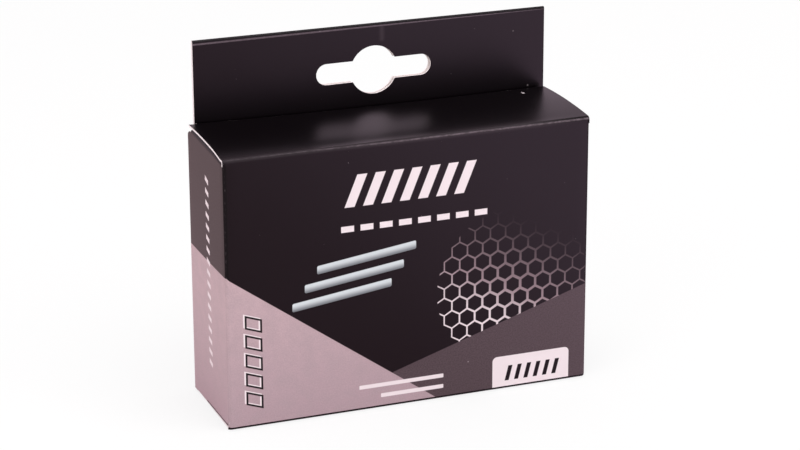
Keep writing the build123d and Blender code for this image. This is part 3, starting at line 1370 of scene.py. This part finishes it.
        centre = (right - fold, start)
        skins = []
        for radius in (fold, fold - sizes.board):
            bend = arc(centre, radius, 0, 90, self.bend_steps)
            skins.append([[(side * x, y, level(z)) for y in depths] for x, z in bend])
        bend_run = pi / 2 * fold
        runs = [bend_run * step / self.bend_steps for step in range(self.bend_steps + 1)]
        spots = [[blank(run, y) for y in depths] for run in runs]
        mesh.add_grid(np.array(skins[0]), np.array(skins[1]), np.array(spots))
        inner = right - self.dust_length + self.dust_corner
        slope = (self.dust_length - fold, self.dust_taper)
        lean = np.degrees(np.arctan2(slope[1], slope[0]))
        reach = self.dust_corner * (1 - sin(radians(lean))) / cos(radians(lean))
        near_tip, far_tip = near + self.dust_taper, far - self.dust_taper
        outline = [
            (right - fold, near),
            *arc((inner, near_tip + reach), self.dust_corner, 270 - lean, 180, self.bend_steps),
            *arc((inner, far_tip - reach), self.dust_corner, 180, 90 + lean, self.bend_steps),
            *[(right - fold, y) for y in depths[:0:-1]],
        ]
        mesh.add_ply(
            [outline],
            lambda x, y, skin: (side * x, y, level(start + fold - skin * sizes.board)),
            lambda x, y: blank(bend_run + right - fold - x, y),
        )

    def _add_glue_strip(self, mesh: CardMesh) -> None:
        """Adds the strip that is glued inside the right side panel.

        Args:
            mesh: The piece that takes it.
        """
        sizes = self.sizes
        far = sizes.rear - sizes.board
        near = far - self.glue_width
        low, high = sizes.side_bottom + self.glue_inset, sizes.side_top - self.glue_inset
        outline = [(far, low), (far, high), (near, high - self.glue_taper), (near, low + self.glue_taper)]
        mesh.add_ply(
            [outline],
            lambda y, z, skin: (sizes.width / 2 - sizes.board * (1 + skin), y, z),
            lambda y, z: (sizes.on_back(sizes.width / 2 + sizes.rear - y), z / MM),
        )

    def _add_back_foot(self, mesh: CardMesh) -> None:
        """Adds the back panel's lower end, behind the base flap's tongue.

        Args:
            mesh: The piece that takes it.
        """
        sizes = self.sizes
        half = sizes.width / 2 - sizes.fold_outside
        top = sizes.board + self.foot_gap
        mesh.add_ply(
            [[(-half, 0.0), (half, 0.0), (half, top), (-half, top)]],
            lambda x, z, skin: (x, sizes.rear - skin * sizes.board, z),
            lambda x, z: (sizes.on_back(x), z / MM),
        )

    def build(self, finishes: Mapping[CardFace, bpy.types.Material]) -> list[bpy.types.Object]:
        """Builds the sleeve and dresses it.

        Args:
            finishes: The card's materials.

        Returns:
            The pieces.
        """
        walls = CardMesh("sleeve", self.settling)
        self._add_walls(walls)
        self._add_back_foot(walls)
        self._add_glue_strip(walls)
        flaps = CardMesh("dust_flaps", self.settling)
        for side in (-1, 1):
            for upper in (True, False):
                self._add_dust_flap(flaps, side, upper)
        pieces = [walls.finish(finishes), flaps.finish(finishes)]
        for piece in pieces:
            seat(piece, "carton", "carton_body")
        return pieces


@dataclass
class HangTab:
    """Back panel carried upwards and doubled over forwards, with a euro slot through both layers."""

    sizes: CartonSizes
    left_inset: float = 1.75 * MM
    right_inset: float = 0.35 * MM
    ply_gap: float = 0.12 * MM
    lap: float = 11.0 * MM
    lap_inset: float = 2.0 * MM
    slot_length: float = 32.0 * MM
    slot_height: float = 5.7 * MM
    slot_round: float = 13.0 * MM
    slot_rise: float = 10.0 * MM
    slot_shift: float = 1.1 * MM
    rear_slip: Pair = (-0.4 * MM, 0.15 * MM)
    top_slant: Pair = (0.15 * MM, -0.4 * MM)
    bend_steps: int = 12
    end_steps: int = 16
    round_steps: int = 24

    def _slot(self, slip: Pair = (0.0, 0.0)) -> list[Pair]:
        """Draws the euro slot of one layer, seen from the front.

        Args:
            slip: How far the layer is out of line.

        Returns:
            The slot's outline.
        """
        centre = (self.slot_shift + slip[0], self.sizes.height + self.slot_rise + slip[1])
        end = self.slot_height / 2
        run = self.slot_length / 2 - end
        big = self.slot_round / 2
        turn = np.degrees(asin(end / big))
        return [
            *arc((centre[0] + run, centre[1]), end, -90, 90, self.end_steps),
            *arc(centre, big, turn, 180 - turn, self.round_steps),
            *arc((centre[0] - run, centre[1]), end, 90, 270, self.end_steps),
            *arc(centre, big, 180 + turn, 360 - turn, self.round_steps),
        ]

    def build(self, finishes: Mapping[CardFace, bpy.types.Material]) -> list[bpy.types.Object]:
        """Builds the tab and dresses it.

        Args:
            finishes: The card's materials.

        Returns:
            The pieces.
        """
        sizes = self.sizes
        mesh = CardMesh("hang_tab")
        inside = self.ply_gap / 2
        outside = inside + sizes.board
        left = -sizes.width / 2 + self.left_inset
        right = sizes.width / 2 - self.right_inset
        foot = sizes.side_top - sizes.corner_drop
        crest = sizes.tab_top - outside
        left_crest, right_crest = (crest + slant for slant in self.top_slant)
        middle = sizes.rear - outside
        front = sizes.rear - 2 * outside
        lap = sizes.width / 2 - sizes.board - self.lap_inset
        lap_end = sizes.height - self.lap

        def over(z: float) -> float:
            """Place up the blank of a point of the front layer."""
            return (2 * sizes.tab_top - z) / MM

        mesh.add_ply(
            [
                [(left, foot), (right, foot), (right, right_crest), (left, left_crest)],
                self._slot(self.rear_slip),
            ],
            lambda x, z, skin: (x, sizes.rear - skin * sizes.board, z),
            lambda x, z: (sizes.on_back(x), z / MM),
        )
        outline = [
            (-lap, lap_end),
            (lap, lap_end),
            (lap, sizes.side_top),
            (right, sizes.side_top),
            (right, right_crest),
            (left, left_crest),
            (left, sizes.side_top),
            (-lap, sizes.side_top),
        ]
        mesh.add_ply(
            [outline, self._slot()],
            lambda x, z, skin: (x, front + skin * sizes.board, z),
            lambda x, z: (sizes.on_back(x), over(z)),
        )
        skins = []
        for radius in (outside, inside):
            bend = arc((middle, crest), radius, 0, 180, self.bend_steps)
            ends = list(zip((left, right), self.top_slant))
            skins.append([[(x, y, z + slant) for x, slant in ends] for y, z in bend])
        rise = 2 * outside / self.bend_steps
        levels = [(crest + rise * step) / MM for step in range(self.bend_steps + 1)]
        spots = [[(sizes.on_back(x), level) for x in (left, right)] for level in levels]
        mesh.add_grid(np.array(skins[0]), np.array(skins[1]), np.array(spots))
        piece = mesh.finish(finishes)
        seat(piece, "carton", "carton_body")
        return [piece]


@dataclass
class TuckEnd:
    """Closing flap at one end, with its two creases and its tuck tongue."""

    sizes: CartonSizes
    end: End
    rear: float
    bow: float
    settling: Settling | None = None
    left_trims: tuple[Pair, ...] = ((0.0, 0.0),)
    right_trims: tuple[Pair, ...] = ((0.0, 0.35 * MM), (29.0 * MM, 0.95 * MM))
    tongue_corner: float = 8.0 * MM
    corner: float = 0.0
    corner_shares: tuple[float, ...] = (0.04, 0.12, 0.25, 0.45, 0.7, 1.0)
    lead: float = 0.05 * MM
    blend_slack: float = 0.3
    steps: int = 14
    crease_spans: int = 40
    panel_spans: int = 8
    panel_rows: int = 26

    @property
    def corner_stations(self) -> np.ndarray:
        """Distances from the flap's ends at which its rounded corners are cut."""
        return np.array(self.corner_shares) * self.sizes.fold_outside

    def _level(self, height: float) -> float:
        """Height of a point that is drawn as part of the lid."""
        return height if self.end is End.LID else self.sizes.height - height

    def _ends(self, y: float) -> Pair:
        """Finds the flap's left and right edge, trimmed so that the flap passes the tab.

        Args:
            y: The depth.

        Returns:
            X of both edges at this depth.
        """
        sizes = self.sizes
        half = sizes.flap_width / 2
        left = np.interp(y - sizes.front, *zip(*self.left_trims))
        right = np.interp(y - sizes.front, *zip(*self.right_trims))
        return (left - half, half - right)

    def _setback(self, x: float, y: float) -> float:
        """Sets a point back, so that the flap's crease follows the sleeve's rounded corner.

        Args:
            x: Its place across the carton.
            y: Its depth.

        Returns:
            How far back it lies.
        """
        if not self.corner:
            return 0.0
        over = min(1.0, max(0.0, (abs(x) - self.sizes.width / 2) / self.corner + 1))
        near = max(0.0, 1 - (y - self.sizes.front) / (2 * self.corner))
        return self.corner * (1 - sqrt(1 - over**2)) * near

    def _sweep(
        self,
        name: str,
        profile: Profile,
        ends: Callable[[float], Pair],
        spans: int,
    ) -> CardMesh:
        """Sweeps a side-on profile across the carton.

        Args:
            name: The piece's name.
            profile: Its points: on the printed skin, on the bare skin, and up the blank in metres.
            ends: Gives the left and right end of the sweep at a depth.
            spans: How many spans the sweep is cut into.

        Returns:
            The mesh.
        """
        skins: tuple[list, list] = ([], [])
        blank = []
        for outer, inner, run in profile:
            left, right = ends(outer[0])
            across = np.linspace(left, right, spans + 1)
            across = np.sort([*across, *(left + self.corner_stations), *(right - self.corner_stations)])
            for skin, (y, z) in zip(skins, (outer, inner)):
                skin.append([(x, y + self._setback(x, outer[0]), self._level(z)) for x in across])
            blank.append([(x / MM, self._level(run) / MM) for x in across])
        mesh = CardMesh(name, self.settling, whole=True)
        mesh.add_grid(np.array(skins[0]), np.array(skins[1]), np.array(blank))
        return mesh

    def _crease(self, centre: Pair, start: float, end: float, blank: float) -> Profile:
        """Profile of a rounded crease.

        Args:
            centre: Its centre, side-on.
            start: First angle in degrees.
            end: Last angle in degrees.
            blank: Place of its first point up the blank, in metres.

        Returns:
            The profile's points.
        """
        fold = self.sizes.fold_outside
        outer = arc(centre, fold, start, end, self.steps)
        inner = arc(centre, self.sizes.fold_inside, start, end, self.steps)
        run = 2 * fold / self.steps
        return [(a, b, blank + run * step) for step, (a, b) in enumerate(zip(outer, inner))]

    def _panel(self, start: float, stop: float, spans: int) -> Profile:
        """Profile of the flap between its creases.

        Args:
            start: Its first depth.
            stop: Its last depth.
            spans: How many spans it is cut into.

        Returns:
            The profile's points.
        """
        sizes = self.sizes
        near, far = sizes.front + sizes.fold_outside, self.rear - sizes.fold_outside
        found = []
        for y in np.linspace(start, stop, spans + 1):
            share = (2 * y - near - far) / (far - near)
            top = sizes.height + self.bow * (1 - share**2)
            found.append(((y, top), (y, top - sizes.board), sizes.height + y - sizes.front))
        return found

    def _front_profile(self) -> Profile:
        """Profile of the crease at the front panel, with a short lead at each end.

        Returns:
            The profile's points.
        """
        sizes = self.sizes
        near, top = sizes.front + sizes.fold_outside, sizes.height - sizes.fold_outside
        levels = (sizes.side_top, top - self.lead)
        rise = [((sizes.front, z), (sizes.front + sizes.board, z), z) for z in levels]
        return rise + self._crease((near, top), 180, 90, top) + self._panel(near, near + self.lead, 1)[1:]

    def _rear_profile(self) -> Profile:
        """Profile of the crease at the tongue, with a short lead at each end.

        Returns:
            The profile's points.
        """
        sizes = self.sizes
        far, top = self.rear - sizes.fold_outside, sizes.height - sizes.fold_outside
        lean = radians(sizes.tongue_lean)
        found = self._panel(far - self.lead, far, 1)[:-1]
        found += self._crease((far, top), 90, -sizes.tongue_lean, sizes.height + far - sizes.front)
        outer, inner, run = found[-1]
        tip = [(y - self.lead * sin(lean), z - self.lead * cos(lean)) for y, z in (outer, inner)]
        found.append((*tip, run + self.lead))
        return found

    def _tongue(self, name: str) -> CardMesh:
        """Draws the tongue from its crease to its free edge.

        Args:
            name: The piece's name.

        Returns:
            The mesh.
        """
        sizes = self.sizes
        fold = sizes.fold_outside
        lean = radians(sizes.tongue_lean)
        centre = (self.rear - fold, sizes.height - fold)
        half, corner, length = sizes.tongue_width / 2, self.tongue_corner, sizes.tongue_length
        outline = [
            *[(x, self.lead) for x in np.linspace(-half, half, self.panel_spans + 1)],
            *arc((half - corner, length - corner), corner, 0, 90, self.steps),
            *arc((corner - half, length - corner), corner, 90, 180, self.steps),
        ]

        def place(x: float, run: float, skin: float) -> Sequence[float]:
            """Places a point of the tongue in space.

            Args:
                x: Its place across the carton.
                run: Its place along the card, from the crease.
                skin: 0 on the printed skin and 1 on the bare one.

            Returns:
                The spot.
            """
            reach = fold - skin * sizes.board
            y = centre[0] + reach * cos(lean) - run * sin(lean)
            return (x, y, self._level(centre[1] - reach * sin(lean) - run * cos(lean)))

        start = sizes.height + self.rear - sizes.front
        mesh = CardMesh(name, self.settling, whole=True)
        mesh.add_ply([outline], place, lambda x, run: (x / MM, self._level(start + run) / MM))
        return mesh

    def build(self, finishes: Mapping[CardFace, bpy.types.Material]) -> list[bpy.types.Object]:
        """Builds the flap, its creases and its tongue, and dresses them.

        Args:
            finishes: The card's materials.

        Returns:
            The pieces.
        """
        sizes = self.sizes
        fold = sizes.fold_outside
        body = self.end.value
        tuck = f"{body}_tuck"
        near, far, top = sizes.front + fold, self.rear - fold, sizes.height - fold
        flat = self._panel(near + self.lead, far - self.lead, self.panel_rows)
        rear_ends = (-sizes.tongue_width / 2, sizes.tongue_width / 2)
        meshes = (
            self._sweep(f"{body}_front_crease", self._front_profile(), self._ends, self.crease_spans),
            self._sweep(f"{body}_panel", flat, self._ends, self.panel_spans),
            self._sweep(f"{body}_rear_crease", self._rear_profile(), lambda y: rear_ends, self.panel_spans),
            self._tongue(f"{body}_tuck_tongue"),
        )
        pieces = [mesh.finish(finishes) for mesh in meshes]
        front, panel, rear, tongue = pieces
        seat(panel, body, f"{body}_flap")
        seat(tongue, tuck, f"{body}_tongue")
        slack = self.blend_slack * fold
        start = (0, sizes.front, self._level(top - slack))
        near + slack
        self._level(sizes.height)
        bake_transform(front)
        start = (0, far, self._level(sizes.height))
        far + fold
        self._level(top)
        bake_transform(rear)
        return pieces


@dataclass
class ReflectorStack:
    """Nested rows of slit tubes that lie across the carton."""

    sizes: CartonSizes
    count: int = 72
    length: float = 75.0 * MM
    diameter: float = 4.4 * MM
    wall: float = 0.8 * MM
    slit: float = 1.4 * MM
    gap: float = 0.12 * MM
    turn: float = 137.5
    steps: int = 22

    def _places(self) -> list[Pair]:
        """Stacks the tubes row by row from the base up.

        Returns:
            Their middles, side-on.
        """
        sizes = self.sizes
        lean = radians(sizes.tongue_lean)
        spacing = self.diameter + self.gap
        front = sizes.front + sizes.board + self.gap
        sweep = sizes.board * cos(lean) + sizes.tongue_length * sin(lean)
        rear = sizes.base_rear - sweep - self.gap
        floor = sizes.height - sizes.dust_top + sizes.board + self.gap
        per_row = int((rear - front + self.gap) // spacing)
        pitch = (rear - front - self.diameter) / (per_row - 1)
        rise = sqrt(spacing**2 - (pitch / 2) ** 2)
        found: list[Pair] = []
        row = 0
        while len(found) < self.count:
            for column in range(per_row - row % 2):
                y = front + self.diameter / 2 + (column + row % 2 / 2) * pitch
                found.append((y, floor + self.diameter / 2 + row * rise))
            row += 1
        return found[: self.count]

    def build(self, film: bpy.types.Material, core: bpy.types.Material) -> bpy.types.Object:
        """Builds the stack and dresses it.

        Args:
            film: Finish of the outsides.
            core: Finish of the bores, slits and ends.

        Returns:
            The piece.
        """
        outer, inner = self.diameter / 2, self.diameter / 2 - self.wall
        half = self.length / 2
        points: list[Sequence[float]] = []
        faces: list[tuple[int, ...]] = []
        kinds: list[TubeFace] = []
        for index, centre in enumerate(self._places()):
            turn = index * self.turn
            open_out = np.degrees(asin(self.slit / 2 / outer))
            open_in = np.degrees(asin(self.slit / 2 / inner))
            ring = arc(centre, outer, turn + open_out, turn + 360 - open_out, self.steps)
            ring += arc(centre, inner, turn + 360 - open_in, turn + open_in, self.steps)
            first, size = len(points), len(ring)
            points += [(side * half, y, z) for side in (-1, 1) for y, z in ring]
            for at in range(size):
                following = (at + 1) % size
                faces.append((first + at, first + following, first + size + following, first + size + at))
                kinds.append(TubeFace.FILM if at < self.steps else TubeFace.CORE)
            for at in range(self.steps):
                quad = (at, at + 1, size - 2 - at, size - 1 - at)
                faces.append(tuple(first + corner for corner in reversed(quad)))
                faces.append(tuple(first + size + corner for corner in quad))
                kinds += [TubeFace.CORE, TubeFace.CORE]
        piece = make_piece("reflector_tubes", points, faces, kinds, (film, core))
        seat(piece, "carton", "spoke_reflectors")
        return piece


@dataclass(frozen=True)
class Viewpoint:
    """Camera at the photograph's viewing angle."""

    place: Triple = (-247.9 * MM, -650.5 * MM, 288.9 * MM)
    azimuth: float = 21.08
    pitch: float = 19.34
    roll: float = -0.19
    lens: float = 126.82
    sensor: float = 36.0

    def build(self) -> None:
        """Makes the camera and hands it to the scene."""
        turn, dip, tilt = radians(self.azimuth), radians(self.pitch), radians(self.roll)
        ahead = Vector((sin(turn) * cos(dip), cos(turn) * cos(dip), -sin(dip)))
        level = Vector((cos(turn), -sin(turn), 0))
        upright = level.cross(ahead)
        right = level * cos(tilt) + upright * sin(tilt)
        up = upright * cos(tilt) - level * sin(tilt)
        lens = bpy.data.cameras.new("viewpoint")
        lens.lens = self.lens
        lens.sensor_width = self.sensor
        camera = add_object("viewpoint", lens)
        turned = Matrix((right, up, -ahead)).transposed().to_4x4()
        camera.matrix_world = Matrix.Translation(self.place) @ turned
        bpy.context.scene.camera = camera


@dataclass(frozen=True)
class Softbox:
    """Large soft lamp that faces the carton."""

    name: str
    place: Triple
    breadth: float
    watts: float
    tint: Triple = (1.0, 1.0, 1.0)
    aim: Triple = (0.0, 0.0, 0.045)

    def build(self) -> None:
        """Makes the lamp."""
        light = bpy.data.lights.new(self.name, "AREA")
        light.shape = "DISK"
        light.size = self.breadth
        light.energy = self.watts
        light.color = self.tint
        lamp = add_object(self.name, light)
        ahead = Vector(self.aim) - Vector(self.place)
        lamp.location = self.place
        lamp.rotation_euler = ahead.to_track_quat("-Z", "Y").to_euler()


@dataclass(frozen=True)
class Studio:
    """White sweep with soft light from all round."""

    breadth: float = 8.0
    drop: float = 0.05 * MM
    sky: float = 0.72
    white: Colour = (1.0, 1.0, 1.0, 1.0)
    sky_tint: Colour = (1.0, 0.97, 0.98, 1.0)
    # Painted reflection: the floor's glow to glossy rays from left to right, brightest on the right; then
    # the wall and the dim ceiling of the world in gloss.
    mirrored_left: Colour = (0.8, 0.42, 0.48, 1.0)
    mirrored_middle: Colour = (0.75, 0.29, 0.47, 1.0)
    mirrored_right: Colour = (2.7, 1.75, 2.5, 1.0)
    mirrored_wall: Colour = (0.88, 0.69, 0.81, 1.0)
    mirrored_ceiling: Colour = (0.25, 0.2, 0.24, 1.0)
    left_blend: Pair = (-0.07, -0.02)
    right_blend: Pair = (0.0, 0.14)
    ceiling_blend: Pair = (0.75, 0.9)
    paper: Colour = (0.88, 0.88, 0.88, 1.0)
    shadow: float = 0.22
    mirrored_share: float = 0.65
    lamps: tuple[Softbox, ...] = (
        Softbox("overhead_softbox", (0.1, -0.3, 1.3), 1.0, 7.6),
        Softbox("left_softbox", (-1.1, -0.7, 0.7), 0.9, 4.1, (1.0, 0.955, 0.93)),
        Softbox("right_softbox", (1.1, -0.9, 0.6), 0.9, 4.0),
    )

    def _floor_finish(self) -> bpy.types.Material:
        """Makes white paper, which shows white with a faint shadow, and to glossy rays glows warm and
        uneven: a painted reflection, pink-tinted and brightest on the right, for the carton's gloss.

        Returns:
            The material.
        """
        graph = Graph.of_finish("floor_paper")
        camera = graph.node("ShaderNodeLightPath", output="Is Camera Ray")
        right = graph.axis(graph.place(), "X")
        # Painted reflection: glossy rays see the floor glow pink-tinted and brighter towards the right,
        # past plain white.
        tint = graph.mixed(right.ease(*self.left_blend), self.mirrored_left, self.mirrored_middle)
        tint = graph.mixed(right.ease(*self.right_blend), tint, self.mirrored_right)
        tint = graph.mixed(camera, tint, self.white)
        share = camera * (1 - self.shadow) | camera.beside("Is Glossy Ray") * self.mirrored_share
        paper = graph.node("ShaderNodeBsdfDiffuse", inputs={"Color": self.paper})
        glow = graph.node("ShaderNodeEmission", inputs={"Color": tint})
        graph.close(graph.node("ShaderNodeMixShader", inputs={0: share, 1: paper, 2: glow}))
        return graph.owner

    def _make_world(self) -> None:
        """Makes the light from all round, which shows white, and has a dim ceiling in gloss."""
        world = bpy.data.worlds.new("studio")
        graph = Graph(world)
        camera = graph.node("ShaderNodeLightPath", output="Is Camera Ray")
        facing = graph.node("ShaderNodeTexCoord", output="Generated")
        upward = graph.axis(facing, "Z")
        mirrored = graph.mixed(upward.ease(*self.ceiling_blend), self.mirrored_wall, self.mirrored_ceiling)
        inputs = {"Color": self.sky_tint, "Strength": self.sky}
        shader = graph.node("ShaderNodeBackground", inputs=inputs)
        for ray, tint in (("Is Glossy Ray", mirrored), ("Is Camera Ray", self.white)):
            layer = graph.node("ShaderNodeBackground", inputs={"Color": tint})
            inputs = {0: camera.beside(ray), 1: shader, 2: layer}
            shader = graph.node("ShaderNodeMixShader", inputs=inputs)
        graph.close(shader)
        bpy.context.scene.world = world

    def build(self) -> None:
        """Makes the floor, the world and the lamps, and sets the view transform."""
        half = self.breadth / 2
        mesh = bpy.data.meshes.new("floor")
        corners = ((-half, -half), (half, -half), (half, half), (-half, half))
        mesh.from_pydata([(x, y, -self.drop) for x, y in corners], [], [(0, 1, 2, 3)])
        mesh.materials.append(self._floor_finish())
        add_object("floor", mesh)
        self._make_world()
        for lamp in self.lamps:
            lamp.build()
        bpy.context.scene.view_settings.view_transform = "Standard"


def main() -> None:
    """Builds the carton's looks piece by piece, then the studio round it."""
    logging.basicConfig(level=logging.INFO, format="%(name)s: %(message)s")
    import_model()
    sizes = CartonSizes.from_frame()
    layout = PrintLayout(
        half_width=sizes.width / 2 / MM,
        depth=sizes.depth / MM,
        height=sizes.height / MM,
        tab_top=sizes.tab_top / MM,
    )
    finishes = {
        CardFace.PRINT: PrintedCard(layout).material(),
        CardFace.BACK: BareBoard().material(),
        CardFace.CUT: CutEdge().material(),
    }
    settling = Settling(sizes)
    base_trims = ((1.0 * MM, 0.2 * MM), (2.5 * MM, 0.5 * MM), (29.0 * MM, 0.9 * MM))
    pieces = [
        *Sleeve(sizes, settling).build(finishes),
        *HangTab(sizes).build(finishes),
        *TuckEnd(sizes, End.LID, sizes.lid_rear, sizes.lid_bow, settling).build(finishes),
        *TuckEnd(
            sizes,
            End.BASE,
            sizes.base_rear,
            bow=0.0,
            left_trims=base_trims,
            right_trims=base_trims,
            corner=sizes.fold_outside,
        ).build(finishes),
        ReflectorStack(sizes).build(ReflectiveFilm().material(), MouldedCore().material()),
    ]
    for piece in pieces:
        log.info("%s: %d faces", piece.name, len(piece.data.polygons))
    Studio().build()
    Viewpoint().build()


if __name__ == "__main__":
    main()
